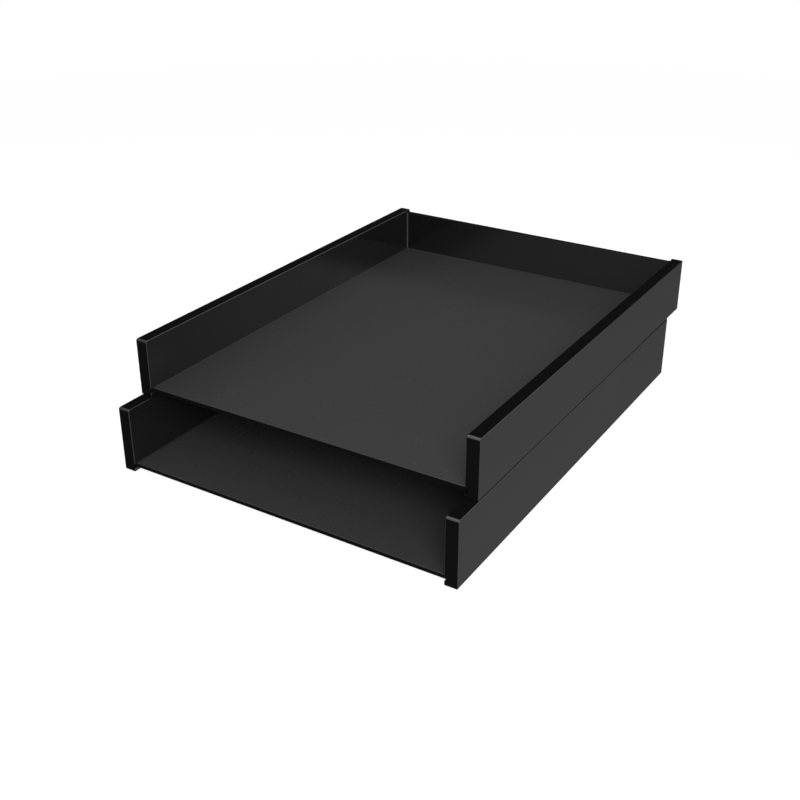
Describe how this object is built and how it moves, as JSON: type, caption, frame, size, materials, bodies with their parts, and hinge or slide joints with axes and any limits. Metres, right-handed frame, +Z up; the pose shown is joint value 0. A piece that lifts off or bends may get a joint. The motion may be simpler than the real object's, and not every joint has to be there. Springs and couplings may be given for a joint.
{
  "type": "letter tray",
  "caption": "Stack of open-front desk letter trays in thick black acrylic sheet. The lower tray is the deeper one. The upper tray is set back and slides forward on its pads.",
  "frame": {"origin": "on the desk, under the centre of the stack's footprint", "axes": "+X to the right, +Y from the open front to the rear panels, +Z up"},
  "size_m": [0.255, 0.352, 0.0876],
  "materials": {
    "gloss_acrylic": "black cast acrylic, faces glossy, cut edges satin",
    "satin_acrylic": "black cast acrylic with a fine satin face",
    "pad_rubber": "matt black anti-slip rubber"
  },
  "bodies": {
    "lower_tray": {"lower_left_wall": "gloss_acrylic", "lower_right_wall": "gloss_acrylic", "lower_floor": "satin_acrylic", "lower_rear_panel": "gloss_acrylic", "lower_pad_front_left": "pad_rubber", "lower_pad_front_right": "pad_rubber", "lower_pad_rear_left": "pad_rubber", "lower_pad_rear_right": "pad_rubber"},
    "upper_tray": {"upper_left_wall": "gloss_acrylic", "upper_right_wall": "gloss_acrylic", "upper_floor": "satin_acrylic", "upper_rear_panel": "gloss_acrylic", "upper_pad_front_left": "pad_rubber", "upper_pad_front_right": "pad_rubber", "upper_pad_rear_left": "pad_rubber", "upper_pad_rear_right": "pad_rubber"}
  },
  "joints": [
    {"name": "upper_tray_slide", "type": "slide", "parent": "lower_tray", "child": "upper_tray", "axis": [0, -1, 0], "range_m": [0, 0.022]}
  ]
}
